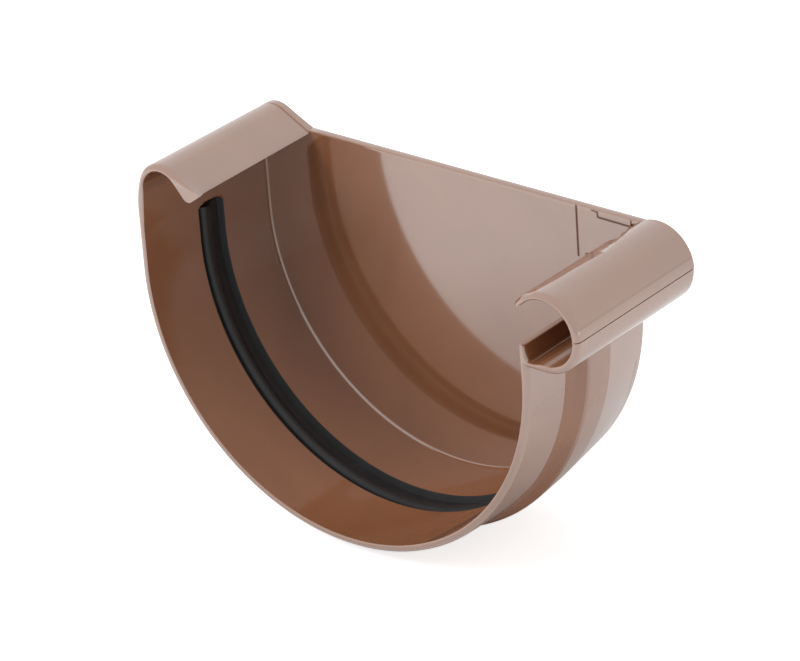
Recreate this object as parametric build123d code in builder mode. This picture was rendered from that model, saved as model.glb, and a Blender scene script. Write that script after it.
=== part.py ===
# Gutter end cap: a moulded cap that closes the end of a half-round gutter, with a
# rubber seal seated in a groove round its bore.
# Millimetres. Y runs along the gutter, from the mouth at y = 0 to the closed end.
# X is the width, with the front bead socket on +X, and Z is up. The half-round
# part is centred on the Y axis, and straight walls rise from it at z = 0.

import math
import os

from build123d import *

os.makedirs("parts", exist_ok=True)

# Trough
bore_radius = 63.0          # inside the mouth, for a gutter of 125 mm nominal width
wall = 2.1
depth = 48.0                # mouth to the inner face of the end plate
plate = 2.2                 # end plate
plate_top = 25.05           # top edge of the end plate
draft = 1.9                 # mould draft of the trough, degrees
rim_width = 1.2             # bevel round the outside of the mouth, across the wall
rim_depth = 1.1             # the same bevel, along Y
collar_depth = 15.3         # mouth to the end of the thicker collar
collar_step = 0.6           # length of the slope that ends the collar
corner_radius = 1.3         # fillet where the walls meet the end plate

# Seal groove and the swelling that carries it outside
groove_start = 21.0         # mouth to the groove's near side
groove_width = 9.4
groove_depth = 2.9          # below the bore at its near side
groove_top = 12.0           # upper end of the groove on the back wall
groove_end_radius = 3.0
ramp_start = 16.4           # mouth to the foot of the gentle ramp
ramp_break = 19.3           # where the ramp turns steeper
ramp_height = 0.94          # height there above the wall's outside
crest_start = 22.0          # mouth to the crest
crest_height = 3.13
crest_round = 0.7
ridge_start = 32.6          # the slope behind the crest turns a little steeper here
ridge_height = 2.23
swelling_over = 2.0         # how far the swelling's crest runs on past the groove's upper end

# Rolled hood along the back edge: an arch that turns inwards and ends in a bead.
# Each size has a value at the mouth and one at the closed end.
arch_inset_mouth = 7.2      # centre of the arch, inwards from the trough's bore
arch_inset_back = 6.1
arch_height_mouth = 23.2
arch_height_back = 23.5
arch_radius_mouth = 6.2     # inside the arch
arch_radius_back = 4.8
arch_wall = 1.9
bead_inset_mouth = 16.8     # centre of the bead, inwards from the trough's bore
bead_inset_back = 16.6
bead_height_mouth = 25.0
bead_height_back = 24.25
bead_radius_mouth = 1.65
bead_radius_back = 1.0
bead_turn = -54.0           # where the bead's round underside ends in a flat
bead_rim = 0.45             # how much the bead shrinks at the mouth
hood_root = 10.8            # height where the back wall starts to lean in
hood_lean = 5.0             # degrees
hood_shoulder = 20.0        # degrees of arch that blends into the wall

# Socket for the gutter's round front bead
socket_reach_mouth = 8.2    # centre of its bore, outwards from the trough's bore
socket_reach_back = 7.4
socket_height_mouth = 14.6
socket_height_back = 14.7
socket_radius = 9.25        # bore of the socket
socket_wall_mouth = 2.05
socket_wall_back = 1.85
socket_shift_mouth = (0.15, -0.25)   # centre of the outside, measured from the bore's
socket_shift_back = (0.0, 0.05)
socket_rim_width = 1.25
socket_stock = 0.3          # left inside the lofted socket for the bore's cut
socket_floor = 0.15         # flat floor of the slot above the bore's lowest line
floor_angle = -97.0         # where the lofted section meets the floor
cut_angle = -104.0          # and where the bore's cut starts, clear of the floor
parting_step = 0.15         # the lower mould half is this much smaller
parting_angle = 0.7         # where the two halves meet on the outside, degrees above level
lip_angle_inner = 136.5     # where the socket's upper edge ends, in its bore
lip_angle_outer = 144.0     # and on its outside
lip_relief = 8.0            # how far before the end plate the upper edge starts to rise
lip_rise = 1.6
lip_dip = 0.12              # how far below the upper edge the rise starts
trough_lip = 9.6            # height of the slot's lower edge

# Rubber seal
seal_gap = 0.2              # clearance beside the seal in its groove
seal_base = 1.3             # thickness of the strip in the groove
seal_bead_start = 1.5       # near side of the groove to the bead
seal_bead_width = 3.7
seal_bead_height = 3.0      # bead above the groove's floor
seal_bead_crown = 1.8       # height of its oval crown
seal_fin_width = 1.2
seal_fin_height = 2.5
seal_top_back = 8.2         # upper end on the back wall
seal_top_front = 2.2        # upper end on the front wall

# Worked out from the above
length = depth + plate
taper = math.tan(math.radians(draft))
groove_end = groove_start + groove_width
collar_radius = bore_radius + wall


def bore(y):
    return bore_radius - taper * y


def skin(y):
    """Outside of the wall: the collar, its slope, and the plain wall behind."""
    plain = bore(y) + wall
    slope = (collar_depth + collar_step - y) / collar_step
    return plain + (collar_radius - plain) * min(max(slope, 0), 1)


groove_floor = bore(groove_start) + groove_depth
arch_mouth = (arch_inset_mouth - bore_radius, arch_height_mouth)
arch_back = (arch_inset_back - bore_radius, arch_height_back)
bead_mouth = (bead_inset_mouth - bore_radius, bead_height_mouth)
bead_back = (bead_inset_back - bore_radius, bead_height_back)
socket_mouth = (bore_radius + socket_reach_mouth, socket_height_mouth)
socket_back = (bore_radius + socket_reach_back, socket_height_back)
outside_mouth = (socket_mouth[0] + socket_shift_mouth[0], socket_mouth[1] + socket_shift_mouth[1])
outside_back = (socket_back[0] + socket_shift_back[0], socket_back[1] + socket_shift_back[1])


def between(mouth, back, y):
    """A size at depth y, from its values at the mouth and at the closed end."""
    return mouth + (back - mouth) * y / length


def centre(mouth, back, y):
    return (between(mouth[0], back[0], y), between(mouth[1], back[1], y))


def polar(middle, radius, degrees):
    angle = math.radians(degrees)
    return (middle[0] + radius * math.cos(angle), middle[1] + radius * math.sin(angle))


def run_round(profile, back_top, front_top, mode=Mode.ADD):
    """Carry a profile of radius and depth round the half circle and up both walls."""
    revolve(profile, axis=Axis.Y, revolution_arc=180, mode=mode)
    extrude(profile, amount=front_top, dir=(0, 0, 1), mode=mode)
    other_side = mirror(profile, about=Plane.YZ, mode=Mode.PRIVATE)
    extrude(other_side, amount=back_top, dir=(0, 0, 1), mode=mode)


def hood_section(y, rim=0.0, bead_trim=0.0):
    """Section of the hood at depth y, from the back wall over the arch to the bead."""
    arch = centre(arch_mouth, arch_back, y)
    inner_radius = between(arch_radius_mouth, arch_radius_back, y)
    outer_radius = inner_radius + arch_wall - rim
    bead = centre(bead_mouth, bead_back, y)
    bead_radius = between(bead_radius_mouth, bead_radius_back, y) - bead_trim
    outer_wall = skin(y) - rim
    across = math.hypot(bead[0] - arch[0], bead[1] - arch[1])
    lie = math.degrees(math.atan2(bead[1] - arch[1], bead[0] - arch[0]))
    over = lie + math.degrees(math.acos((outer_radius - bead_radius) / across))
    under = lie + math.degrees(math.acos((inner_radius + bead_radius) / across))
    edge_reach = bead_radius / math.cos(math.radians((over - bead_turn) / 2))
    shoulder = polar(arch, outer_radius, 180 - hood_shoulder)
    bend = math.radians(hood_shoulder)
    blend_radius = (shoulder[0] + outer_wall) / (1 - math.cos(bend))
    blend_start = (-outer_wall, shoulder[1] - blend_radius * math.sin(bend))
    with BuildSketch(Plane.XZ.offset(-y)) as sketch:
        with BuildLine():
            Line((-bore(y), hood_root), polar(arch, inner_radius, 180 - hood_lean))
            CenterArc(arch, inner_radius, 180 - hood_lean, under - 180 + hood_lean)
            Line(polar(arch, inner_radius, under), polar(bead, bead_radius, under + 180))
            CenterArc(bead, bead_radius, under - 180, bead_turn - under + 180)
            Polyline(
                polar(bead, bead_radius, bead_turn),
                polar(bead, edge_reach, (over + bead_turn) / 2),
                polar(arch, outer_radius, over),
            )
            CenterArc(arch, outer_radius, over, 180 - hood_shoulder - over)
            TangentArc(blend_start, shoulder, tangent=(0, 1))
            Line(blend_start, (-outer_wall, hood_root))
            Line((-outer_wall, hood_root), (-bore(y), hood_root))
        make_face()
    return sketch.sketch


def socket_section(y, rim=0.0):
    """Section of the bead socket at depth y, from its upper edge round to its floor."""
    middle = centre(socket_mouth, socket_back, y)
    shell = centre(outside_mouth, outside_back, y)
    inside = socket_radius - socket_stock
    outside = socket_radius + between(socket_wall_mouth, socket_wall_back, y) - rim
    lower = outside - parting_step
    floor = middle[1] - socket_radius + socket_floor
    floor_start = polar(middle, inside, floor_angle)
    reach = bore(y) + wall / 3
    with BuildSketch(Plane.XZ.offset(-y)) as sketch:
        with BuildLine():
            CenterArc(middle, inside, floor_angle, lip_angle_inner - floor_angle)
            Line(polar(middle, inside, lip_angle_inner), polar(shell, outside, lip_angle_outer))
            CenterArc(shell, outside, parting_angle, lip_angle_outer - parting_angle)
            Line(polar(shell, outside, parting_angle), polar(shell, lower, parting_angle))
            CenterArc(shell, lower, -90, 90 + parting_angle)
            Polyline(
                polar(shell, lower, -90),
                (reach, shell[1] - lower),
                (reach, floor),
                (floor_start[0], floor),
                floor_start,
            )
        make_face()
    return sketch.sketch


# Swelling that carries the groove outside and dies out at the closed end
with BuildSketch(Plane.XY) as swelling:
    with BuildLine():
        Polyline(
            (bore(ramp_start) + wall / 2, ramp_start),
            (skin(ramp_start), ramp_start),
            (skin(ramp_break) + ramp_height, ramp_break),
            (skin(crest_start) + crest_height, crest_start),
            (skin(ridge_start) + ridge_height, ridge_start),
            (skin(length), length),
            (bore(length) + wall / 2, length),
            close=True,
        )
    make_face()
    fillet(swelling.vertices().sort_by(Axis.X)[-1], crest_round)
swelling_profile = swelling.sketch

# Its run up the back wall, with an upper end that slopes back into the wall
with BuildPart() as swelling_run:
    swelling_top = groove_top + swelling_over + crest_height
    other_side = mirror(swelling_profile, about=Plane.YZ, mode=Mode.PRIVATE)
    extrude(other_side, amount=swelling_top, dir=(0, 0, 1))
    slope = Plane(origin=(-skin(ramp_start), ramp_start, swelling_top), z_dir=(-1, taper, 1))
    split(bisect_by=slope, keep=Keep.BOTTOM)

with BuildPart() as cap_body:
    # Trough wall, with the bevel round its mouth and the collar behind it
    with BuildSketch(Plane.XY, mode=Mode.PRIVATE) as wall_profile:
        with BuildLine():
            Polyline(
                (bore(0), 0),
                (skin(0) - rim_width, 0),
                (skin(rim_depth), rim_depth),
                (skin(collar_depth), collar_depth),
                (skin(collar_depth + collar_step), collar_depth + collar_step),
                (skin(length), length),
                (bore(length), length),
                close=True,
            )
        make_face()
    run_round(wall_profile.sketch, hood_root, trough_lip)

    # Swelling outside the seal groove
    revolve(swelling_profile, axis=Axis.Y, revolution_arc=180)
    extrude(swelling_profile, amount=socket_mouth[1] - socket_radius, dir=(0, 0, 1))
    add(swelling_run.part)

    # Hood along the back edge
    loft(
        [
            hood_section(0, rim_width, bead_rim),
            hood_section(rim_depth),
            hood_section(collar_depth),
            hood_section(collar_depth + collar_step),
            hood_section(length),
        ],
        ruled=True,
    )

    # Bead socket along the front edge
    loft(
        [socket_section(0, socket_rim_width), socket_section(rim_depth), socket_section(length)],
        ruled=True,
    )

    # Its bore, a cylinder along the socket's own axis, open towards the trough
    bore_start = Vector(socket_mouth[0], 0, socket_mouth[1])
    bore_run = (Vector(socket_back[0], length, socket_back[1]) - bore_start).normalized()
    level = bore_run.cross(Vector(0, 0, 1)).normalized()
    outwards = level.rotate(Axis((0, 0, 0), bore_run), -cut_angle)
    with BuildSketch(Plane(bore_start, x_dir=outwards, z_dir=outwards.cross(bore_run))):
        with Locations((socket_radius / 2, length / 2)):
            Rectangle(socket_radius, length + 2 * socket_stock)
    revolve(
        axis=Axis(bore_start, -bore_run),
        revolution_arc=lip_angle_outer - cut_angle,
        mode=Mode.SUBTRACT,
    )

    # The socket's upper edge rises in a curve as it comes to the end plate
    lip_height = polar(outside_back, socket_radius + socket_wall_back, lip_angle_outer)[1] - lip_dip
    with BuildSketch(Plane.YZ.offset(socket_back[0])):
        with BuildLine():
            rise = TangentArc(
                (depth - lip_relief, lip_height), (depth, lip_height + lip_rise), tangent=(1, 0)
            )
            Polyline(
                rise @ 1,
                (length, lip_height + lip_rise),
                (length, socket_back[1]),
                (depth - lip_relief, socket_back[1]),
                rise @ 0,
            )
        make_face()
    extrude(amount=-2 * socket_radius, mode=Mode.SUBTRACT)

    # End plate, which also closes the ends of the hood and the socket
    plate_reach = bore(length) + wall / 2
    plate_foot = socket_back[1] - socket_radius - socket_wall_back / 2
    with BuildSketch(Plane.XZ.offset(-depth)):
        with BuildLine():
            outline = ThreePointArc((-plate_reach, 0), (0, -plate_reach), (plate_reach, 0))
            Polyline(
                outline @ 1,
                (plate_reach, plate_foot),
                (socket_back[0], plate_foot),
                (socket_back[0], plate_top),
                (-plate_reach, plate_top),
                outline @ 0,
            )
        make_face()
        with Locations(outside_back):
            Circle(socket_radius + socket_wall_back - parting_step)
    extrude(amount=-plate)
    with BuildSketch(Plane.XZ.offset(-depth)):
        with Locations(arch_back):
            Circle(arch_radius_back + arch_wall / 2)
        with Locations(bead_back):
            Circle(bead_radius_back / 2)
        make_hull()
    extrude(amount=-plate)

    # Fillet between the walls and the end plate
    corner_bore = bore(depth - corner_radius)
    with BuildSketch(Plane.XY, mode=Mode.PRIVATE) as corner:
        with BuildLine():
            curve = CenterArc(
                (corner_bore - corner_radius, depth - corner_radius), corner_radius, 0, 90
            )
            Polyline(
                curve @ 1,
                (corner_bore - corner_radius, depth + plate / 2),
                (corner_bore + wall / 2, depth + plate / 2),
                (corner_bore + wall / 2, depth - corner_radius),
                curve @ 0,
            )
        make_face()
    run_round(corner.sketch, plate_top - corner_radius, trough_lip)

    # Groove for the seal, with a rounded upper end on the back wall
    with BuildSketch(Plane.XY, mode=Mode.PRIVATE) as groove_profile:
        with BuildLine():
            Polyline(
                (bore_radius - wall, groove_start),
                (groove_floor, groove_start),
                (groove_floor, groove_end),
                (bore_radius - wall, groove_end),
                close=True,
            )
        make_face()
    revolve(groove_profile.sketch, axis=Axis.Y, revolution_arc=180, mode=Mode.SUBTRACT)
    extrude(
        groove_profile.sketch,
        amount=seal_top_front + seal_gap,
        dir=(0, 0, 1),
        mode=Mode.SUBTRACT,
    )
    with BuildSketch(Plane.YZ.offset(-groove_floor)) as groove_run:
        with BuildLine():
            Polyline(
                (groove_start, 0),
                (groove_start, groove_top),
                (groove_end, groove_top),
                (groove_end, 0),
                close=True,
            )
        make_face()
        fillet(groove_run.vertices().group_by(Axis.Y)[-1], groove_end_radius)
    extrude(amount=wall * 2, mode=Mode.SUBTRACT)

cap_body.part.label = "cap_body"
export_step(cap_body.part, "parts/cap_body.step")

with BuildPart() as rubber_seal:
    # A strip in the groove with a round bead near the mouth and a thin fin behind
    seat = groove_floor - seal_gap
    near = groove_start + seal_gap
    far = groove_end - seal_gap
    bead_near = groove_start + seal_bead_start
    bead_far = bead_near + seal_bead_width
    bead_middle = (groove_floor - seal_bead_height + seal_bead_crown, (bead_near + bead_far) / 2)
    with BuildSketch(Plane.XY, mode=Mode.PRIVATE) as seal_profile:
        with BuildLine():
            crown = EllipticalCenterArc(
                bead_middle, seal_bead_crown, seal_bead_width / 2, start_angle=90, arc_size=180
            )
            Polyline(
                crown @ 0,
                (seat - seal_base, bead_far),
                (seat - seal_base, far - seal_fin_width),
                (groove_floor - seal_fin_height, far - seal_fin_width / 2),
                (groove_floor - seal_fin_height, far),
                (seat, far),
                (seat, near),
                (seat - seal_base, near),
                (seat - seal_base, bead_near),
                crown @ 1,
            )
        make_face()
    run_round(seal_profile.sketch, seal_top_back, seal_top_front)

rubber_seal.part.label = "rubber_seal"
export_step(rubber_seal.part, "parts/rubber_seal.step")
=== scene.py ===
import bpy
import bmesh
import math
from mathutils import Matrix, Vector


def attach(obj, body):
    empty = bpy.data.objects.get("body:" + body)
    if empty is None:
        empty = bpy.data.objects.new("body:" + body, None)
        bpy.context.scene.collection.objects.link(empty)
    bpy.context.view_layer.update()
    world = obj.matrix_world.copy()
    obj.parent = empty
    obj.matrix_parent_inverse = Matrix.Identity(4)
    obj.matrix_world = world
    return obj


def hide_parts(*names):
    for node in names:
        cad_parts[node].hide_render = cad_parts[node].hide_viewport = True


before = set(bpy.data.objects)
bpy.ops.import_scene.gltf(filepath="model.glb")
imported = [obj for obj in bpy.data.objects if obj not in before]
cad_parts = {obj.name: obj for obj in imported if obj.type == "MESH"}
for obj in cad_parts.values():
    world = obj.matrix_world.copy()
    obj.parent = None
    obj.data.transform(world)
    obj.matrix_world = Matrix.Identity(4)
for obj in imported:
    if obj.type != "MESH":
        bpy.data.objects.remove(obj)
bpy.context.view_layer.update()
mm = 0.001

# The cap's own sizes, in millimetres and degrees. Y runs from the mouth to the closed end,
# and a pair has a value at the mouth and one at the closed end.
cap = {
    "bore": 63.0, "wall": 2.1, "depth": 48.0, "plate": 2.2, "plateTop": 25.05, "plateSunk": 0.02,
    "plateInWall": 0.55, "draft": 1.9, "cornerRadius": 0.7, "cornerTop": 2.2, "cornerFade": 1.6,
    "collarEnd": 15.3, "collarStep": 0.6,
    "rampStart": 16.4, "rampBreak": 19.3, "rampHeight": 0.94,
    "crest": 22.0, "crestHeight": 3.13, "ridge": 32.6, "ridgeHeight": 2.23,
    "swellingTop": 14.0, "swellingFade": 3.4,
    "grooveStart": 21.0, "grooveWidth": 9.4, "grooveDepth": 2.9, "grooveTop": 9.2, "grooveFront": 2.4,
    "grooveFlat": 0.35, "grooveBow": 2.6, "grooveFade": 1.6,
    "arch": ((-55.8, 23.2), (-56.9, 23.5)), "archRadius": (6.2, 4.8), "archWall": 1.9,
    "bead": ((-46.2, 25.0), (-46.4, 24.25)), "beadRadius": (1.65, 1.0), "beadTurn": -54.0,
    "beadEdge": 0.35, "beadFoot": 0.45, "beadFootRun": 4.0,
    "hoodRoot": 10.8, "hoodLean": 5.0, "hoodShoulder": 20.0,
    "socket": ((71.2, 14.6), (70.4, 14.7)), "socketRadius": 9.25,
    "outside": ((71.35, 14.35), (70.4, 14.75)), "outsideRadius": (11.3, 11.1),
    "partingStep": 0.2, "partingDepth": 0.4, "partingAngle": 0.7, "partingTurns": (-0.9, -0.7, 0.5, 0.7, 1.2),
    "lipInner": 137.5, "lipOuter": 144.8, "lipRelief": 8.0, "lipRise": 1.6, "lipPower": 1.25,
    "slotDrop": 0.35, "troughLip": 9.6, "lipWidth": 1.66,
    # A flat strip along the socket's top starts at these angles, each at its own depth
    "flatStart": [(0, 104.5), (3, 103.6), (7, 100.4), (11, 99.0), (16, 98.0), (22, 96.0), (26, 94.0),
                  (28, 93.0), (32, 96.0), (37, 103.0), (39, 104.5), (41.6, 108.7), (44, 116.0),
                  (46, 124.0), (48.2, 132.0), (51, 132.0)],
    "flatEnd": 126.0, "flatRun": (37.2, 38.6), "fallAngle": 131.5,
    # The socket flares a little where it meets the end plate
    "flare": 0.95, "flareRadius": 3.0, "flareAngle": 128.0, "flareFade": 9.0, "flareGap": 0.08,
}
length = cap["depth"] + cap["plate"]
taper = math.tan(math.radians(cap["draft"]))


def smooth(t):
    t = min(max(t, 0.0), 1.0)
    return t * t * (3 - 2 * t)


def mix(pair, y):
    a, b = pair
    t = y / length
    if isinstance(a, tuple):
        return (a[0] + (b[0] - a[0]) * t, a[1] + (b[1] - a[1]) * t)
    return a + (b - a) * t


# Straight runs through points of (y, value)
def through(points, y):
    for (y0, v0), (y1, v1) in zip(points, points[1:]):
        if y <= y1:
            return v0 + (v1 - v0) * max(0.0, (y - y0) / (y1 - y0))
    return points[-1][1]


def bore(y):
    return cap["bore"] - taper * y


def plainSkin(y):
    return bore(y) + cap["wall"]


collarRadius = cap["bore"] + cap["wall"]


def skin(y):
    a, b = cap["collarEnd"], cap["collarEnd"] + cap["collarStep"]
    if y <= a:
        return collarRadius
    return collarRadius + (plainSkin(y) - collarRadius) * smooth((y - a) / (b - a))


# How far the outside is drawn in at the mouth and at the closed end, for rounded edges
rimRounding = [(0.0, 1.22), (0.1, 0.98), (0.3, 0.66), (0.6, 0.34), (0.9, 0.14), (1.3, 0.03), (1.8, 0.0)]
backRounding = [(length - 0.5, 0.0), (length - 0.3, 0.05), (length - 0.12, 0.16), (length, 0.4)]
innerRim = [(0.0, 0.32), (0.1, 0.15), (0.3, 0.0)]
tubeBack = [(length - 0.8, 0.0), (length - 0.55, 0.04), (length - 0.32, 0.14), (length - 0.12, 0.34),
            (length, 0.7)]


def outerInset(y):
    return through(rimRounding, y) + through(backRounding, y)


def swelling(y):
    run = [
        (cap["rampStart"], 0.0), (cap["rampBreak"] - 0.2, cap["rampHeight"] * 0.9),
        (cap["rampBreak"] + 0.2, cap["rampHeight"] * 1.17),
        (cap["crest"] - 0.45, cap["crestHeight"] - 0.62), (cap["crest"] - 0.15, cap["crestHeight"] - 0.25),
        (cap["crest"] + 0.2, cap["crestHeight"] - 0.09), (cap["crest"] + 0.8, cap["crestHeight"] - 0.09),
        (cap["ridge"], cap["ridgeHeight"]), (length, 0.0),
    ]
    return through(run, y) if y > cap["rampStart"] else 0.0


# Fillet where the walls meet the end plate
def cornerFill(y):
    r = cap["cornerRadius"]
    d = min(max(y - (cap["depth"] - r), 0.0), r)
    return r - math.sqrt(r * r - d * d)


grooveEnd = cap["grooveStart"] + cap["grooveWidth"]
grooveSides = [
    (cap["grooveStart"] - 0.16, 0.0), (cap["grooveStart"] - 0.04, 0.06), (cap["grooveStart"] + 0.04, 0.45),
    (cap["grooveStart"] + 0.1, 1.0), (grooveEnd - 0.1, 1.0), (grooveEnd - 0.04, 0.45),
    (grooveEnd + 0.04, 0.06), (grooveEnd + 0.16, 0.0),
]


def grooveCut(y, z, side):
    if not grooveSides[0][0] <= y <= grooveSides[-1][0]:
        return 0.0
    top = cap["grooveTop"] if side < 0 else cap["grooveFront"]
    middle = (cap["grooveStart"] + grooveEnd) / 2
    across = abs(y - middle) / (cap["grooveWidth"] / 2)
    end = top - cap["grooveBow"] * max(0.0, across - cap["grooveFlat"]) ** 2
    along = 1.0 - smooth((z - end + 1.0) / cap["grooveFade"])
    return cap["grooveDepth"] * through(grooveSides, y) * along


def arcPoints(middle, radius, a0, a1, n):
    return [
        (middle[0] + radius * math.cos(math.radians(a0 + (a1 - a0) * i / n)),
         middle[1] + radius * math.sin(math.radians(a0 + (a1 - a0) * i / n)))
        for i in range(n + 1)
    ]


def pointAt(middle, radius, angle):
    return arcPoints(middle, radius, angle, angle, 1)[0]


def linePoints(a, b, n):
    return [(a[0] + (b[0] - a[0]) * i / n, a[1] + (b[1] - a[1]) * i / n) for i in range(n + 1)]


# The point at a distance from a towards b
def between(a, b, reach):
    t = reach / math.hypot(b[0] - a[0], b[1] - a[1])
    return (a[0] + (b[0] - a[0]) * t, a[1] + (b[1] - a[1]) * t)


# Radius of the bead socket's outside, with the flat strip along its top
def tubeReach(radius, y, angle):
    start = through(cap["flatStart"], y)
    if angle <= start:
        return radius
    fade = smooth((y - cap["flatRun"][0]) / (cap["flatRun"][1] - cap["flatRun"][0]))
    half, middle = math.radians(cap["flatEnd"] - start) / 2, (cap["flatEnd"] + start) / 2
    flat = side = radius
    if angle < cap["flatEnd"]:
        flat = radius * math.cos(half) / math.cos(math.radians(angle - middle))
    # nearer the plate the strip falls away more steeply
    fall = cap["fallAngle"]
    if start < fall:
        side = radius * math.cos(math.radians(fall - start)) / math.cos(math.radians(fall - angle))
        side = min(side, radius)
    reach = flat + (side - flat) * fade
    top = cap["plateTop"] - cap["flareGap"] - cap["outside"][1][1]
    rise = min(max(top / max(math.sin(math.radians(angle)), 0.1) - radius, 0.0), cap["flare"])
    rise *= 1 - smooth((angle - cap["flareAngle"]) / cap["flareFade"])
    run = math.sqrt(cap["flareRadius"] ** 2 - (cap["flareRadius"] - rise) ** 2)
    d = min(max(y - (cap["depth"] - run), 0.0), run)
    grown = cap["flareRadius"] - math.sqrt(cap["flareRadius"] ** 2 - d * d)
    return reach + grown * (1 - smooth((y - cap["depth"]) / 0.3))


def innerWall(y):
    return bore(y) + through(innerRim, y)


# Inside of the trough at one height, with the groove and the corner fillet
def innerAt(y, x, z):
    side = -1 if x < 0 else 1
    return innerWall(y) + grooveCut(y, z, side) - cornerFill(y)


frontHeights = [9.3, 8.6, 7.2, 5.8, 4.6, 4.0, 3.4, 3.0, 2.6, 2.2, 1.8, 1.4, 0.8]
backHeights = [1, 2.5, 4, 5.5, 7, 8, 8.8, 9.4, 10, 10.4]
roundSteps = 144


# The front lip down, round the bottom and up the back wall
def troughPoints(y):
    points = [(innerAt(y, 1, z), z) for z in frontHeights]
    for i in range(roundSteps + 1):
        a = -math.pi * i / roundSteps
        r = innerAt(y, math.cos(a), 0)
        points.append((r * math.cos(a), r * math.sin(a)))
    return points + [(-innerAt(y, -1, z), z) for z in backHeights]


# The wall leans in, turns over in an arch and ends in a bead with a sharp outer edge
def hoodPoints(y):
    inset = outerInset(y)
    arch, bead = mix(cap["arch"], y), mix(cap["bead"], y)
    archR = mix(cap["archRadius"], y) + through(innerRim, y)
    beadR = mix(cap["beadRadius"], y) - inset * 0.1 + cap["beadFoot"] * (1 - smooth(y / cap["beadFootRun"]))
    outR = mix(cap["archRadius"], y) + cap["archWall"] - inset
    across = math.hypot(bead[0] - arch[0], bead[1] - arch[1])
    lie = math.degrees(math.atan2(bead[1] - arch[1], bead[0] - arch[0]))
    over = lie + math.degrees(math.acos((outR - beadR) / across))
    under = lie + math.degrees(math.acos((archR + beadR) / across))
    archIn = arcPoints(arch, archR, 180 - cap["hoodLean"], under, 26)
    beadArc = arcPoints(bead, beadR, under - 180, cap["beadTurn"], 16)
    archOut = arcPoints(arch, outR, over, 180 - cap["hoodShoulder"], 30)
    half = (over - cap["beadTurn"]) / 2
    edge = pointAt(bead, beadR / math.cos(math.radians(half)), (over + cap["beadTurn"]) / 2)
    points = []
    for x, z in linePoints((-innerWall(y), cap["hoodRoot"]), archIn[0], 18)[:-1]:
        low = 1 - smooth((z - cap["plateTop"] + cap["cornerTop"]) / cap["cornerFade"])
        points.append((x - grooveCut(y, z, -1) + cornerFill(y) * low, z))
    points += archIn + linePoints(archIn[-1], beadArc[0], 8)[1:-1] + beadArc
    a, b = between(edge, beadArc[-1], cap["beadEdge"]), between(edge, archOut[0], cap["beadEdge"])
    points += linePoints(beadArc[-1], a, 4)[1:]
    points.append(((a[0] + b[0] + edge[0] * 2) / 4, (a[1] + b[1] + edge[1] * 2) / 4))
    return points + linePoints(b, archOut[0], 8)[:-1] + archOut


# From the hood's shoulder down the back wall and round the bottom, with the swelling
def outsidePoints(y, shoulder):
    wallOut = skin(y) - outerInset(y)
    bend = math.radians(cap["hoodShoulder"])
    blendR = (shoulder[0] + wallOut) / (1 - math.cos(bend))
    startZ = shoulder[1] - blendR * math.sin(bend)
    lift = swelling(y)
    points = []

    def swellAt(z):
        return lift * (1 - smooth((z - cap["swellingTop"]) / cap["swellingFade"]))

    for i in range(1, 13):
        a = bend * (1 - i / 12)
        z = startZ + blendR * math.sin(a)
        points.append((-wallOut + blendR * (1 - math.cos(a)) - swellAt(z), z))
    for i in range(1, 19):
        z = startZ * (1 - i / 18)
        points.append((-wallOut - swellAt(z), z))
    out = wallOut + lift
    for i in range(1, roundSteps + 1):
        a = math.pi + math.pi * i / roundSteps
        points.append((out * math.cos(a), out * math.sin(a)))
    return points


# Steps across and up round the corner under the socket and over the trough's lip
underCorner = [(0, -2.4), (0, -1.2), (0, -0.5), (0.06, -0.18), (0.25, 0)]
lipFoot = [(1.4, 0.12), (1.1, 0.34), (0.86, 0.68), (0.62, 1.2), (0.4, 1.9), (0.22, 2.9)]
lipTop = [(0.05, -0.6), (-0.08, -0.2), (-0.35, -0.04)]


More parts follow.
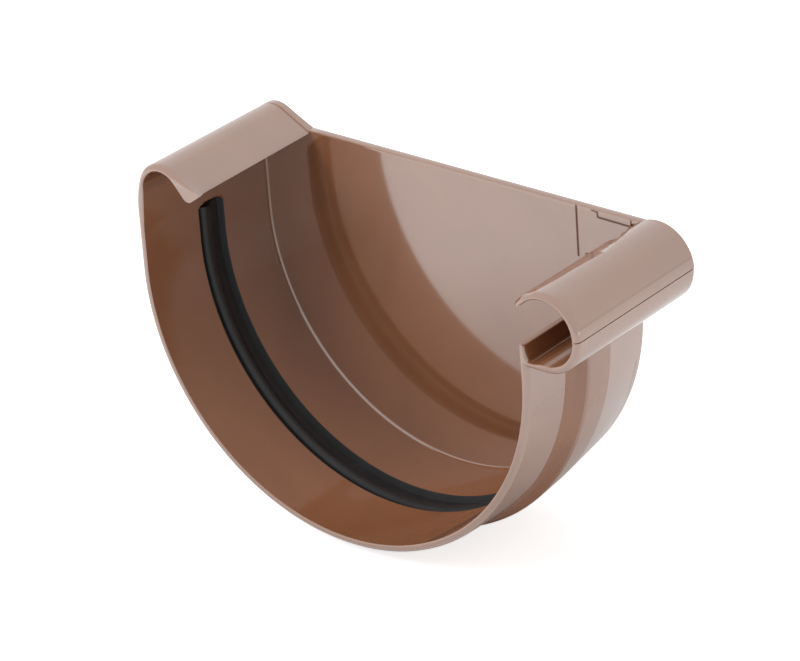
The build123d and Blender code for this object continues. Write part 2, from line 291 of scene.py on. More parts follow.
# Underside, outside, edge and bore of the bead socket, then the slot's floor and the
# tapered lip of the trough
def socketPoints(y):
    inset = outerInset(y)
    middle, shell = mix(cap["socket"], y), mix(cap["outside"], y)
    tubeR = mix(cap["outsideRadius"], y) - inset - through(tubeBack, y)
    lowR = tubeR - cap["partingStep"]
    boreR = cap["socketRadius"] + through(innerRim, y)
    out, under = skin(y) - inset + swelling(y), shell[1] - lowR
    points = [(out + dx, under + dz) for dx, dz in underCorner]
    points += linePoints(points[-1], (shell[0], under), 5)[1:]
    parting = [cap["partingAngle"] + turn for turn in cap["partingTurns"]]
    points += arcPoints(shell, lowR, -90, parting[0], 26)[1:]
    deepR = lowR - cap["partingDepth"]
    points += [pointAt(shell, deepR, parting[1]), pointAt(shell, deepR, parting[2])]
    points.append(pointAt(shell, tubeR - 0.1, parting[3]))
    near = smooth((y - cap["depth"] + cap["lipRelief"]) / cap["lipRelief"])
    relief = cap["lipRise"] * near ** cap["lipPower"]
    upOut = math.sin(math.radians(cap["lipOuter"])) + relief / tubeR
    upIn = math.sin(math.radians(cap["lipInner"])) + relief / boreR
    lipOut = 180 - math.degrees(math.asin(min(upOut, 0.995)))
    lipIn = 180 - math.degrees(math.asin(min(upIn, 0.985)))
    start = through(cap["flatStart"], y)
    end = max(cap["flatEnd"], start + 4)
    runs = [(parting[4], start - 0.9, 42), (start - 0.9, start + 0.9, 3), (start + 0.9, end - 1.5, 9),
            (end - 1.5, end + 1.5, 3), (end + 1.5, lipOut - 1.5, 7)]
    angles = [a + (b - a) * i / n for a, b, n in runs for i in range(n)] + [lipOut - 1.5]
    points += [pointAt(shell, tubeReach(tubeR, y, a), a) for a in angles]
    tipOut, tipIn = pointAt(shell, tubeR - 0.1, lipOut - 0.4), pointAt(middle, boreR + 0.1, lipIn - 0.4)
    points += linePoints(tipOut, tipIn, 3) + arcPoints(middle, boreR, lipIn - 1.5, -94, 72)
    foot, lipX = middle[1] - cap["socketRadius"] - cap["slotDrop"], bore(y) + cap["lipWidth"] - inset * 0.6
    points += linePoints(points[-1], (lipX + 1.75, foot + 0.02), 4)[1:]
    points += [(lipX + dx, foot + dz) for dx, dz in lipFoot]
    points += [(lipX + dx, cap["troughLip"] + dz) for dx, dz in lipTop]
    inner = innerWall(y)
    return points + [(inner + 0.4, cap["troughLip"]), (inner + 0.1, cap["troughLip"] - 0.08)]


# One closed outline of the whole cap at a depth
def capSection(y):
    hood = hoodPoints(y)
    return troughPoints(y) + hood + outsidePoints(y, hood[-1]) + socketPoints(y)


# Depths of the outlines, closer together where the form turns
def stationList():
    steps = [(cap["collarEnd"], (-0.9, -0.3, -0.1)), (cap["rampStart"], (-0.2, 0, 0.2, 1.0, 1.9)),
             (cap["rampBreak"], (-0.2, 0.2, 0.8, 1.4)),
             (cap["crest"], (-0.65, -0.45, -0.3, -0.15, 0, 0.2, 0.5, 0.8, 1.5, 3, 4.5, 6, 7.3)),
             (cap["ridge"], (-1.3, -0.5, -0.15, 0, 0.15, 0.5, 1.9, 3.9, 5.9)),
             (cap["flatRun"][0], (0, 0.4, 0.7, 1.0, 1.4, 2.0)), (cap["depth"], (0.15, 0.35, 0.6, 1.0))]
    ys = [3, 5, 7.5, 10, 12.5] + [place + d for place, ds in steps for d in ds]
    ys += [cap["collarEnd"] + cap["collarStep"] * k / 6 for k in range(7)]
    ys += [40 + 0.5 * k for k in range(14)] + [45.25, 45.75, 46.25]
    ys += [point[0] for point in rimRounding + innerRim + grooveSides + backRounding + tubeBack]
    r = cap["cornerRadius"]
    ys += [cap["depth"] - r + r * math.sin(math.radians(a)) for a in range(0, 91, 10)]
    return sorted(set(round(y, 4) for y in ys))


def meshObject(name, verts, faces, material, sharpAngle=30.0):
    mesh = bpy.data.meshes.new(name)
    mesh.from_pydata([(x * mm, y * mm, z * mm) for x, y, z in verts], [], faces)
    mesh.validate()
    bm = bmesh.new()
    bm.from_mesh(mesh)
    bmesh.ops.remove_doubles(bm, verts=bm.verts, dist=2e-7)
    bmesh.ops.recalc_face_normals(bm, faces=bm.faces)
    bm.to_mesh(mesh)
    bm.free()
    for poly in mesh.polygons:
        poly.use_smooth = True
    mesh.set_sharp_from_angle(angle=math.radians(sharpAngle))
    obj = bpy.data.objects.new(name, mesh)
    bpy.context.scene.collection.objects.link(obj)
    obj.data.materials.append(material)
    return obj


def buildShell():
    ys = stationList()
    rows = [capSection(y) for y in ys]
    n = len(rows[0])
    verts = [(x, y, z) for y, row in zip(ys, rows) for x, z in row]
    faces = []
    for j in range(len(ys) - 1):
        for i in range(n):
            k = (i + 1) % n
            faces.append((j * n + i, j * n + k, (j + 1) * n + k, (j + 1) * n + i))
    faces.append(tuple(range(n)))
    faces.append(tuple(range((len(ys) - 1) * n, len(ys) * n))[::-1])
    return verts, faces


# Outline of the end plate, a little inside the cap's own
def plateOutline():
    reach = bore(cap["depth"]) + cap["wall"] * cap["plateInWall"]
    socket = mix(cap["outside"], cap["depth"])
    tubeR = cap["outsideRadius"][1] - 1.0
    arch, archR = cap["arch"][1], cap["archRadius"][1] + cap["archWall"] * cap["plateInWall"]
    bead, beadR = cap["bead"][1], cap["beadRadius"][1] * cap["plateInWall"]
    across = math.hypot(bead[0] - arch[0], bead[1] - arch[1])
    over = math.degrees(math.acos((archR - beadR) / across))
    over += math.degrees(math.atan2(bead[1] - arch[1], bead[0] - arch[0]))
    points = [(reach * math.cos(a), reach * math.sin(a)) for a in [-math.pi * i / 96 for i in range(97)]]
    points += [(-reach, z) for z in (5, 10, 15, 19)]
    points += arcPoints(arch, archR, 180, over, 24) + arcPoints(bead, beadR, over, 25, 8)
    top = cap["plateTop"]
    points += linePoints((bead[0] + beadR * 0.9 + 1.0, top), (socket[0], top), 30)
    points += arcPoints(socket, tubeR, 90, -90, 40)[1:]
    under = socket[1] - tubeR
    return points + [(reach + 1.0, under), (reach, under - 0.5), (reach, 2.0)]


def buildPlate():
    front, back = cap["depth"], length - cap["plateSunk"]
    # depth, and how far the top edge is drawn in there
    rows = [(front, 0.45), (front + 0.12, 0.16), (front + 0.4, 0.0), (back - 0.35, 0.0), (back - 0.1, 0.1),
            (back, 0.28)]
    base = plateOutline()
    verts, faces, n = [], [], len(base)
    for y, drop in rows:
        for x, z in base:
            isTop = abs(z - cap["plateTop"]) < 0.01
            verts.append((x, y, z - drop if isTop else z))
    for j in range(len(rows) - 1):
        for i in range(n):
            k = (i + 1) % n
            faces.append((j * n + i, j * n + k, (j + 1) * n + k, (j + 1) * n + i))
    faces.append(tuple(range(n)))
    faces.append(tuple(range((len(rows) - 1) * n, len(rows) * n))[::-1])
    return verts, faces


# Materials are built from small groups
def nodeGroup(name, inputs, outputs):
    tree = bpy.data.node_groups.new(name, "ShaderNodeTree")
    for label, kind, value in inputs:
        item = tree.interface.new_socket(name=label, in_out="INPUT", socket_type=kind)
        if value is not None:
            item.default_value = value
    for label, kind in outputs:
        tree.interface.new_socket(name=label, in_out="OUTPUT", socket_type=kind)
    return tree, tree.nodes.new("NodeGroupInput"), tree.nodes.new("NodeGroupOutput")


def addNode(tree, kind, **values):
    node = tree.nodes.new(kind)
    for key, value in values.items():
        setattr(node, key, value)
    return node


def mathNode(tree, operation, a, b=None, clamp=False):
    node = tree.nodes.new("ShaderNodeMath")
    node.operation = operation
    node.use_clamp = clamp
    for slotIndex, value in ((0, a), (1, b)):
        if value is None:
            continue
        if isinstance(value, (int, float)):
            node.inputs[slotIndex].default_value = value
        else:
            tree.links.new(value, node.inputs[slotIndex])
    return node.outputs[0]


def within(tree, value, low, high):
    above = mathNode(tree, "GREATER_THAN", value, low)
    return mathNode(tree, "MULTIPLY", above, mathNode(tree, "LESS_THAN", value, high))


def lengthNode(tree, a, b):
    square = mathNode(tree, "ADD", mathNode(tree, "MULTIPLY", a, a), mathNode(tree, "MULTIPLY", b, b))
    return mathNode(tree, "SQRT", square)


# Slow flow marks and a fine orange peel, as on a moulded surface
def makeMouldGroup():
    tree, groupIn, groupOut = nodeGroup(
        "mouldedSurface",
        [("Position", "NodeSocketVector", None), ("Flow Scale", "NodeSocketFloat", 40.0),
         ("Peel Scale", "NodeSocketFloat", 900.0)],
        [("Flow", "NodeSocketFloat"), ("Height", "NodeSocketFloat")],
    )
    flow = addNode(tree, "ShaderNodeTexNoise")
    flow.inputs["Detail"].default_value = 4.0
    flow.inputs["Distortion"].default_value = 0.8
    tree.links.new(groupIn.outputs["Position"], flow.inputs["Vector"])
    tree.links.new(groupIn.outputs["Flow Scale"], flow.inputs["Scale"])
    peel = addNode(tree, "ShaderNodeTexNoise")
    peel.inputs["Detail"].default_value = 2.0
    tree.links.new(groupIn.outputs["Position"], peel.inputs["Vector"])
    tree.links.new(groupIn.outputs["Peel Scale"], peel.inputs["Scale"])
    tree.links.new(flow.outputs[0], groupOut.inputs["Flow"])
    tree.links.new(peel.outputs[0], groupOut.inputs["Height"])
    return tree


# A straight mark between two points of the X-Z plane, at the depths between Y0 and Y1
def makeMarkGroup():
    tree, groupIn, groupOut = nodeGroup(
        "mouldMark",
        [("Position", "NodeSocketVector", None)]
        + [(label, "NodeSocketFloat", 0.0) for label in ("X0", "Z0", "X1", "Z1", "Width", "Y0", "Y1")],
        [("Mark", "NodeSocketFloat")],
    )
    given = groupIn.outputs
    split = addNode(tree, "ShaderNodeSeparateXYZ")
    tree.links.new(given["Position"], split.inputs[0])
    x, y, z = split.outputs
    dx = mathNode(tree, "SUBTRACT", given["X1"], given["X0"])
    dz = mathNode(tree, "SUBTRACT", given["Z1"], given["Z0"])
    px, pz = mathNode(tree, "SUBTRACT", x, given["X0"]), mathNode(tree, "SUBTRACT", z, given["Z0"])
    dot = mathNode(tree, "ADD", mathNode(tree, "MULTIPLY", px, dx), mathNode(tree, "MULTIPLY", pz, dz))
    square = mathNode(tree, "ADD", mathNode(tree, "MULTIPLY", dx, dx), mathNode(tree, "MULTIPLY", dz, dz))
    t = mathNode(tree, "DIVIDE", dot, square, clamp=True)
    ex = mathNode(tree, "SUBTRACT", px, mathNode(tree, "MULTIPLY", t, dx))
    ez = mathNode(tree, "SUBTRACT", pz, mathNode(tree, "MULTIPLY", t, dz))
    halfWidth = mathNode(tree, "MULTIPLY", given["Width"], 0.5)
    spread = mathNode(tree, "DIVIDE", lengthNode(tree, ex, ez), halfWidth)
    near = mathNode(tree, "SUBTRACT", 1.6, spread, clamp=True)
    deep = within(tree, y, given["Y0"], given["Y1"])
    tree.links.new(mathNode(tree, "MULTIPLY", near, deep), groupOut.inputs["Mark"])
    return tree


# Places with less gloss, in millimetres, and how dull they are
dullSizes = {
    "boreGrown": 0.45, "boreStart": 0.4, "boreEnd": 47.8,
    "filletStart": 47.2, "filletEnd": 47.96, "filletRight": 62.0, "filletLow": -50.0, "filletGain": 18.0,
    "insideDull": 0.75, "wallRadius": 63.8, "tubeRadius": 12.2,
    # Slopes outside the seal groove: from, to and how dull
    "slopes": [(15.7, 21.7, 0.75), (21.7, 32.5, 0.42)],
}


# The bore of the bead socket, the fillet round the plate's inner face and the slopes
# outside the seal groove
def makeDullGroup():
    sizes = dullSizes
    boreX, boreZ = mix(cap["socket"], length / 2)
    tree, groupIn, groupOut = nodeGroup(
        "dullPlaces",
        [("Position", "NodeSocketVector", None), ("Bore X", "NodeSocketFloat", boreX * mm),
         ("Bore Z", "NodeSocketFloat", boreZ * mm),
         ("Bore Radius", "NodeSocketFloat", (cap["socketRadius"] + sizes["boreGrown"]) * mm),
         ("Fillet Start", "NodeSocketFloat", sizes["filletStart"] * mm),
         ("Fillet End", "NodeSocketFloat", sizes["filletEnd"] * mm)],
        [("Dull", "NodeSocketFloat")],
    )
    given = groupIn.outputs
    split = addNode(tree, "ShaderNodeSeparateXYZ")
    tree.links.new(given["Position"], split.inputs[0])
    x, y, z = split.outputs
    aside = mathNode(tree, "SUBTRACT", x, given["Bore X"])
    above = mathNode(tree, "SUBTRACT", z, given["Bore Z"])
    far = lengthNode(tree, aside, above)
    inBore = mathNode(tree, "MULTIPLY", mathNode(tree, "LESS_THAN", far, given["Bore Radius"]),
                      within(tree, y, sizes["boreStart"] * mm, sizes["boreEnd"] * mm))
    inFillet = mathNode(tree, "MULTIPLY", within(tree, y, given["Fillet Start"], given["Fillet End"]),
                        mathNode(tree, "LESS_THAN", x, sizes["filletRight"] * mm))
    higher = mathNode(tree, "SUBTRACT", z, sizes["filletLow"] * mm)
    higher = mathNode(tree, "MULTIPLY", higher, sizes["filletGain"], clamp=True)
    inFillet = mathNode(tree, "MULTIPLY", inFillet, higher)
    dull = mathNode(tree, "MULTIPLY", mathNode(tree, "MAXIMUM", inBore, inFillet), sizes["insideDull"])
    out = lengthNode(tree, x, mathNode(tree, "MINIMUM", z, 0.0))
    outside = mathNode(tree, "MULTIPLY", mathNode(tree, "GREATER_THAN", out, sizes["wallRadius"] * mm),
                       mathNode(tree, "GREATER_THAN", far, sizes["tubeRadius"] * mm))
    for start, end, amount in sizes["slopes"]:
        slope = mathNode(tree, "MULTIPLY", within(tree, y, start * mm, end * mm), outside)
        dull = mathNode(tree, "MAXIMUM", dull, mathNode(tree, "MULTIPLY", slope, amount))
    tree.links.new(dull, groupOut.inputs["Dull"])
    return tree


mouldGroup, markGroup, dullGroup = makeMouldGroup(), makeMarkGroup(), makeDullGroup()

plasticLook = {
    "brown": (0.262, 0.108, 0.050), "brownDeep": (0.228, 0.091, 0.042), "markShadeBrown": (0.1, 0.036, 0.018),
    "flowLow": 0.3, "flowGain": 2.4, "roughness": 0.22, "flowRough": 0.06, "markRough": 0.6,
    "ior": 1.5, "coatRoughness": 0.06, "coatIor": 2.4, "glossLoss": 0.6, "softLoss": 0.85,
    "bump": 0.05, "bumpDepth": 0.0001, "markBump": 3.0, "markReach": 0.3,
    # Marks the mould leaves on the plate's inner face, dented by bump and darkened with painted shade: x0,
    # z0, x1, z1, width, how dark the painted shade is
    "marks": [
        (45.0, 24.4, 44.7, 10.3, 0.62, 0.95), (50.1, 24.4, 51.9, 24.3, 0.45, 0.8),
        (51.9, 24.3, 52.0, 22.9, 0.55, 0.9), (52.0, 22.9, 62.6, 22.75, 0.55, 0.9),
        (62.9, 24.4, 62.9, 23.3, 0.5, 0.85), (47.2, 11.3, 47.8, 11.5, 0.5, 0.8),
    ],
}


# The darkest of the mould's marks at each place, a mask for their dent and their painted shade
def allMarks(tree, coord):
    marks = None
    for x0, z0, x1, z1, width, dark in plasticLook["marks"]:
        mark = addNode(tree, "ShaderNodeGroup", node_tree=markGroup)
        tree.links.new(coord, mark.inputs["Position"])
        reach = plasticLook["markReach"]
        for label, value in (("X0", x0), ("Z0", z0), ("X1", x1), ("Z1", z1), ("Width", width),
                             ("Y0", cap["depth"] - reach), ("Y1", cap["depth"] + reach)):
            mark.inputs[label].default_value = value * mm
        one = mathNode(tree, "MULTIPLY", mark.outputs["Mark"], dark)
        marks = one if marks is None else mathNode(tree, "MAXIMUM", marks, one)
    return marks


def addBump(tree, bsdf, height, strength, depth):
    bump = addNode(tree, "ShaderNodeBump")
    bump.inputs["Strength"].default_value = strength
    bump.inputs["Distance"].default_value = depth
    tree.links.new(height, bump.inputs["Height"])
    tree.links.new(bump.outputs[0], bsdf.inputs["Normal"])


def plasticMaterial():
    look = plasticLook
    mat = bpy.data.materials.new("brownMouldedPlastic")
    mat.use_nodes = True
    tree = mat.node_tree
    bsdf = tree.nodes["Principled BSDF"]
    coord = addNode(tree, "ShaderNodeTexCoord").outputs["Object"]
    mould = addNode(tree, "ShaderNodeGroup", node_tree=mouldGroup)
    tree.links.new(coord, mould.inputs["Position"])
    flow = mathNode(tree, "SUBTRACT", mould.outputs["Flow"], look["flowLow"], clamp=True)
    colour = addNode(tree, "ShaderNodeMix", data_type="RGBA")
    colour.inputs["A"].default_value = (*look["brownDeep"], 1)
    colour.inputs["B"].default_value = (*look["brown"], 1)
    tree.links.new(mathNode(tree, "MULTIPLY", flow, look["flowGain"], clamp=True), colour.inputs["Factor"])
    marks = allMarks(tree, coord)
    # On the marks the colour is mixed towards a dark brown: painted shade for the shade in these small
    # grooves and along their ridges
    marked = addNode(tree, "ShaderNodeMix", data_type="RGBA")
    tree.links.new(colour.outputs["Result"], marked.inputs["A"])
    marked.inputs["B"].default_value = (*look["markShadeBrown"], 1)
    tree.links.new(marks, marked.inputs["Factor"])
    tree.links.new(marked.outputs["Result"], bsdf.inputs["Base Color"])
    rough = mathNode(tree, "MULTIPLY", mould.outputs["Flow"], look["flowRough"])
    rough = mathNode(tree, "ADD", rough, look["roughness"])
    rough = mathNode(tree, "ADD", rough, mathNode(tree, "MULTIPLY", marks, look["markRough"]), clamp=True)
    tree.links.new(rough, bsdf.inputs["Roughness"])
    sunk = mathNode(tree, "MULTIPLY", marks, look["markBump"])
    height = mathNode(tree, "SUBTRACT", mould.outputs["Height"], sunk)
    addBump(tree, bsdf, height, look["bump"], look["bumpDepth"])
    bsdf.inputs["IOR"].default_value = look["ior"]
    # The gloss lies in the coat: none on the marks, and less where one wall mirrors another
    path = addNode(tree, "ShaderNodeLightPath")
    lost = mathNode(tree, "ADD", mathNode(tree, "MULTIPLY", path.outputs["Is Glossy Ray"], look["glossLoss"]),
                    mathNode(tree, "MULTIPLY", path.outputs["Is Diffuse Ray"], look["softLoss"]))
    kept = mathNode(tree, "SUBTRACT", 1.0, lost, clamp=True)
    dull = addNode(tree, "ShaderNodeGroup", node_tree=dullGroup)
    tree.links.new(coord, dull.inputs["Position"])
    bare = mathNode(tree, "SUBTRACT", 1.0, mathNode(tree, "MAXIMUM", marks, dull.outputs["Dull"]), clamp=True)
    tree.links.new(mathNode(tree, "MULTIPLY", kept, bare), bsdf.inputs["Coat Weight"])
    bsdf.inputs["Coat Roughness"].default_value = look["coatRoughness"]
    bsdf.inputs["Coat IOR"].default_value = look["coatIor"]
    return mat


rubberLook = {
    "dark": (0.007, 0.007, 0.008), "pale": (0.02, 0.02, 0.022), "flowScale": 120.0, "peelScale": 2600.0,
    "roughness": 0.42, "peelRough": 0.2, "bump": 0.25, "bumpDepth": 0.0001,
}


def rubberMaterial():
    look = rubberLook
    mat = bpy.data.materials.new("blackSealRubber")
    mat.use_nodes = True
    tree = mat.node_tree
    bsdf = tree.nodes["Principled BSDF"]
    coord = addNode(tree, "ShaderNodeTexCoord").outputs["Object"]
    mould = addNode(tree, "ShaderNodeGroup", node_tree=mouldGroup)
    tree.links.new(coord, mould.inputs["Position"])
    mould.inputs["Flow Scale"].default_value = look["flowScale"]
    mould.inputs["Peel Scale"].default_value = look["peelScale"]
    colour = addNode(tree, "ShaderNodeMix", data_type="RGBA")
    colour.inputs["A"].default_value = (*look["dark"], 1)
    colour.inputs["B"].default_value = (*look["pale"], 1)
    tree.links.new(mould.outputs["Flow"], colour.inputs["Factor"])
    tree.links.new(colour.outputs["Result"], bsdf.inputs["Base Color"])
    rough = mathNode(tree, "MULTIPLY", mould.outputs["Height"], look["peelRough"])
    tree.links.new(mathNode(tree, "ADD", rough, look["roughness"]), bsdf.inputs["Roughness"])
    addBump(tree, bsdf, mould.outputs["Height"], look["bump"], look["bumpDepth"])
    return mat


plastic, rubber = plasticMaterial(), rubberMaterial()
print("materials done")

# Cap body: the shell and the end plate in one mesh
shellVerts, shellFaces = buildShell()
plateVerts, plateFaces = buildPlate()
shift = len(shellVerts)
capBody = meshObject("capBody", shellVerts + plateVerts,
                     shellFaces + [tuple(i + shift for i in f) for f in plateFaces], plastic)
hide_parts("cap_body")
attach(capBody, "root")
print("cap body", len(capBody.data.polygons), "faces")

# Rubber seal: its section follows the groove round the bore
sealSizes = {
    "radius": 65.0, "start": 21.2, "end": 30.7, "base": 1.3,
    "beadStart": 1.4, "beadWidth": 4.1, "beadHeight": 2.8,
    "finWidth": 0.7, "finHeight": 3.1, "topBack": 8.2, "topFront": 2.2, "steps": 240,
}


# Height above the groove's floor against the place along Y: the strip, its round bead and
# the fin at its far edge
def sealProfile():
    sizes = sealSizes
    near, far = sizes["start"], sizes["end"]
    beadNear, beadFar = near + sizes["beadStart"], near + sizes["beadStart"] + sizes["beadWidth"]
    middle, radius = (beadNear + beadFar) / 2, sizes["beadWidth"] / 2
    base, fin, finWidth = sizes["base"], sizes["finHeight"], sizes["finWidth"]
    pts = [(0, near), (base * 0.6, near), (base, near + 0.15), (base, beadNear - 0.12),
           (base + 0.3, beadNear)]
    for i in range(15):
        t = math.pi * (1 - i / 14)
        pts.append((sizes["beadHeight"] - radius + radius * math.sin(t), middle + radius * math.cos(t)))
    pts += [(base + 0.3, beadFar), (base, beadFar + 0.12), (base, far - finWidth - 0.15),
            (base + 0.3, far - finWidth * 0.95), (fin - 0.2, far - finWidth * 0.6),
            (fin, far - finWidth * 0.45), (fin, far - 0.2), (fin - 0.2, far), (0, far)]
    return pts


def sealTree(profileObject):
    tree = bpy.data.node_groups.new("sealRoundBore", "GeometryNodeTree")
    sockets = {}
    for label, kind, value in (
        ("Geometry", "NodeSocketGeometry", None), ("Section", "NodeSocketObject", None),
        ("Radius", "NodeSocketFloat", 0.065), ("Top Back", "NodeSocketFloat", 0.005),
        ("Top Front", "NodeSocketFloat", 0.002), ("Steps", "NodeSocketInt", 240),
        ("Rubber", "NodeSocketMaterial", None),
    ):
        item = tree.interface.new_socket(name=label, in_out="INPUT", socket_type=kind)
        if value is not None:
            item.default_value = value
        sockets[label] = item.identifier
    tree.interface.new_socket(name="Geometry", in_out="OUTPUT", socket_type="NodeSocketGeometry")
    groupIn, groupOut = tree.nodes.new("NodeGroupInput"), tree.nodes.new("NodeGroupOutput")
    given = groupIn.outputs
    line = tree.nodes.new("GeometryNodeMeshLine")
    tree.links.new(given["Steps"], line.inputs["Count"])
    curve = tree.nodes.new("GeometryNodeMeshToCurve")
    tree.links.new(line.outputs[0], curve.inputs[0])
    index = tree.nodes.new("GeometryNodeInputIndex").outputs[0]
    last = mathNode(tree, "SUBTRACT", given["Steps"], 1.0)
    halfRound = mathNode(tree, "MULTIPLY", given["Radius"], math.pi)
    total = mathNode(tree, "ADD", mathNode(tree, "ADD", halfRound, given["Top Back"]), given["Top Front"])
    along = mathNode(tree, "MULTIPLY", mathNode(tree, "DIVIDE", index, last), total)
    # below zero on the back wall, and past half a round on the front wall
    past = mathNode(tree, "SUBTRACT", along, given["Top Back"])
    down = mathNode(tree, "MAXIMUM", mathNode(tree, "MULTIPLY", past, -1.0), 0.0)
    up = mathNode(tree, "MAXIMUM", mathNode(tree, "SUBTRACT", past, halfRound), 0.0)
    arc = mathNode(tree, "MINIMUM", mathNode(tree, "MAXIMUM", past, 0.0), halfRound)
    angle = mathNode(tree, "DIVIDE", arc, given["Radius"])
    turned = mathNode(tree, "MULTIPLY", given["Radius"], -1.0)
    x = mathNode(tree, "MULTIPLY", mathNode(tree, "COSINE", angle), turned)
    zRound = mathNode(tree, "MULTIPLY", mathNode(tree, "SINE", angle), turned)
    z = mathNode(tree, "ADD", mathNode(tree, "ADD", zRound, down), up)
    place = tree.nodes.new("ShaderNodeCombineXYZ")
    tree.links.new(x, place.inputs[0])
    tree.links.new(z, place.inputs[2])
    put = tree.nodes.new("GeometryNodeSetPosition")
    tree.links.new(curve.outputs[0], put.inputs["Geometry"])
    tree.links.new(place.outputs[0], put.inputs["Position"])
    section = tree.nodes.new("GeometryNodeObjectInfo")
    tree.links.new(given["Section"], section.inputs["Object"])
    sweep = tree.nodes.new("GeometryNodeCurveToMesh")
    sweep.inputs["Fill Caps"].default_value = True
    tree.links.new(put.outputs[0], sweep.inputs["Curve"])
    tree.links.new(section.outputs["Geometry"], sweep.inputs["Profile Curve"])
    real = tree.nodes.new("GeometryNodeRealizeInstances")
    tree.links.new(sweep.outputs[0], real.inputs[0])
    paint = tree.nodes.new("GeometryNodeSetMaterial")
    tree.links.new(real.outputs[0], paint.inputs[0])
    tree.links.new(given["Rubber"], paint.inputs["Material"])
    tree.links.new(paint.outputs[0], groupOut.inputs[0])
    return tree, sockets


def buildSeal():
    sizes = sealSizes
    curve = bpy.data.curves.new("sealSection", "CURVE")
    curve.dimensions = "2D"
    spline = curve.splines.new("POLY")
    pts = sealProfile()
    spline.points.add(len(pts) - 1)
    for p, (h, y) in zip(spline.points, pts):
        p.co = (h * mm, -y * mm, 0, 1)
    spline.use_cyclic_u = True
    section = bpy.data.objects.new("sealSection", curve)
    bpy.context.scene.collection.objects.link(section)
    holder = bpy.data.objects.new("sealHolder", bpy.data.meshes.new("sealHolder"))
    bpy.context.scene.collection.objects.link(holder)
    tree, sockets = sealTree(section)
    modifier = holder.modifiers.new("sealRoundBore", "NODES")
    modifier.node_group = tree
    modifier[sockets["Section"]] = section
    modifier[sockets["Radius"]] = sizes["radius"] * mm
    modifier[sockets["Top Back"]] = sizes["topBack"] * mm
    modifier[sockets["Top Front"]] = sizes["topFront"] * mm
    modifier[sockets["Steps"]] = sizes["steps"]
    modifier[sockets["Rubber"]] = rubber
    bpy.context.view_layer.update()
    evaluated = holder.evaluated_get(bpy.context.evaluated_depsgraph_get())
    mesh = bpy.data.meshes.new_from_object(evaluated)
    bpy.data.objects.remove(holder)
    bpy.data.objects.remove(section)
    bm = bmesh.new()
    bm.from_mesh(mesh)
    bmesh.ops.recalc_face_normals(bm, faces=bm.faces)
    bm.to_mesh(mesh)
    bm.free()
    for poly in mesh.polygons:
        poly.use_smooth = True
    mesh.set_sharp_from_angle(angle=math.radians(40))
    seal = bpy.data.objects.new("rubberSeal", mesh)
    bpy.context.scene.collection.objects.link(seal)
    return seal


rubberSeal = buildSeal()
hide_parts("rubber_seal")
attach(rubberSeal, "root")
print("rubber seal", len(rubberSeal.data.polygons), "faces")

# Floor, lamps and camera. The floor glows for the camera, and less in a gloss, where it stays
# as dark as it is lit close under the cap.
stageSizes = {
    "floorZ": -67.55, "floorHalf": 6000.0, "floorGrey": 0.85, "floorRoughness": 0.9,
    "seenGlow": 0.72, "mirrorGlow": 0.3, "mirrorStart": 86.0, "mirrorGain": 26.0, "worldLight": 0.52,
}
lamps = {
    "softKey": {"place": (-0.65, -0.95, 1.35), "size": 1.3, "power": 26.0},
    "softSide": {"place": (1.3, 0.45, 0.08), "size": 0.3, "power": 6.0},
}
cameraSizes = {
    "place": (1.1681, -1.2946, 0.8412), "right": (0.7703, 0.6334, -0.0735),
    "view": (-0.5960, 0.6742, -0.4362), "sensor": 36.0, "lens": 337.5, "clipStart": 0.1,
}


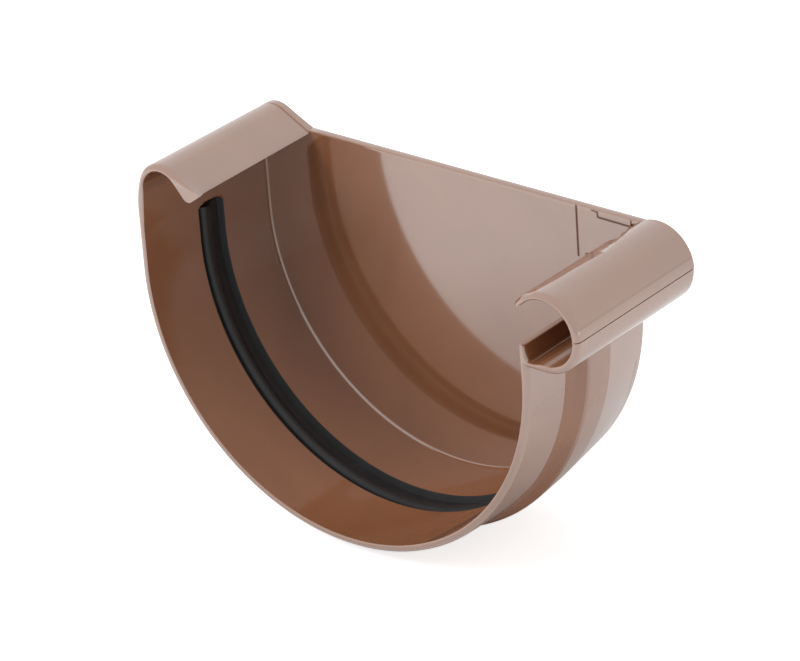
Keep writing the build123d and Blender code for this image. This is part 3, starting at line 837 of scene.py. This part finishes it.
def buildStage():
    sizes = stageSizes
    floorMesh = bpy.data.meshes.new("paleFloor")
    z, r = sizes["floorZ"] * mm, sizes["floorHalf"] * mm
    floorMesh.from_pydata([(-r, -r, z), (r, -r, z), (r, r, z), (-r, r, z)], [], [(0, 1, 2, 3)])
    floor = bpy.data.objects.new("paleFloor", floorMesh)
    bpy.context.scene.collection.objects.link(floor)
    mat = bpy.data.materials.new("paleFloor")
    mat.use_nodes = True
    tree = mat.node_tree
    bsdf = tree.nodes["Principled BSDF"]
    bsdf.inputs["Base Color"].default_value = (sizes["floorGrey"], sizes["floorGrey"], sizes["floorGrey"], 1)
    bsdf.inputs["Roughness"].default_value = sizes["floorRoughness"]
    bsdf.inputs["Specular IOR Level"].default_value = 0.0
    bsdf.inputs["Emission Color"].default_value = (1, 1, 1, 1)
    path = addNode(tree, "ShaderNodeLightPath")
    seen = mathNode(tree, "MAXIMUM", path.outputs["Is Camera Ray"], path.outputs["Is Transmission Ray"])
    away = addNode(tree, "ShaderNodeVectorMath", operation="LENGTH")
    tree.links.new(addNode(tree, "ShaderNodeTexCoord").outputs["Object"], away.inputs[0])
    beyond = mathNode(tree, "SUBTRACT", away.outputs["Value"], sizes["mirrorStart"] * mm)
    beyond = mathNode(tree, "MULTIPLY", beyond, sizes["mirrorGain"], clamp=True)
    mirrored = mathNode(tree, "MULTIPLY", path.outputs["Is Glossy Ray"], beyond)
    glow = mathNode(tree, "ADD", mathNode(tree, "MULTIPLY", seen, sizes["seenGlow"]),
                    mathNode(tree, "MULTIPLY", mirrored, sizes["mirrorGlow"]))
    tree.links.new(glow, bsdf.inputs["Emission Strength"])
    floorMesh.materials.append(mat)


# White where it is seen, and dimmer as a light
def buildWorld():
    world = bpy.data.worlds.new("paleStudio")
    bpy.context.scene.world = world
    world.use_nodes = True
    tree = world.node_tree
    back = tree.nodes["Background"]
    path = addNode(tree, "ShaderNodeLightPath")
    seen = mathNode(tree, "MAXIMUM", path.outputs["Is Camera Ray"], path.outputs["Is Glossy Ray"])
    seen = mathNode(tree, "MAXIMUM", seen, path.outputs["Is Transmission Ray"])
    lit = mathNode(tree, "MULTIPLY", mathNode(tree, "SUBTRACT", 1.0, seen), stageSizes["worldLight"])
    back.inputs["Color"].default_value = (1, 1, 1, 1)
    tree.links.new(mathNode(tree, "ADD", seen, lit), back.inputs["Strength"])


# A soft lamp that faces the cap and doesn't show in its gloss
def addLamp(name, place, size, power):
    lamp = bpy.data.lights.new(name, "AREA")
    lamp.size = size
    lamp.energy = power
    obj = bpy.data.objects.new(name, lamp)
    obj.location = Vector(place)
    obj.rotation_euler = (-Vector(place)).to_track_quat("-Z", "Y").to_euler()
    obj.visible_glossy = False
    bpy.context.scene.collection.objects.link(obj)


def addCamera():
    sizes = cameraSizes
    camera = bpy.data.cameras.new("photoCamera")
    camera.sensor_width = sizes["sensor"]
    camera.sensor_fit = "HORIZONTAL"
    camera.lens = sizes["lens"]
    camera.clip_start = sizes["clipStart"]
    cameraObject = bpy.data.objects.new("photoCamera", camera)
    right, view = Vector(sizes["right"]).normalized(), Vector(sizes["view"]).normalized()
    right = (right - view * right.dot(view)).normalized()
    turn = Matrix((right, right.cross(view), -view)).transposed().to_4x4()
    cameraObject.matrix_world = Matrix.Translation(Vector(sizes["place"])) @ turn
    bpy.context.scene.collection.objects.link(cameraObject)
    bpy.context.scene.camera = cameraObject


buildStage()
buildWorld()
for lampName, lampSizes in lamps.items():
    addLamp(lampName, **lampSizes)
addCamera()
bpy.context.scene.view_settings.view_transform = "Standard"

print("scene ready")
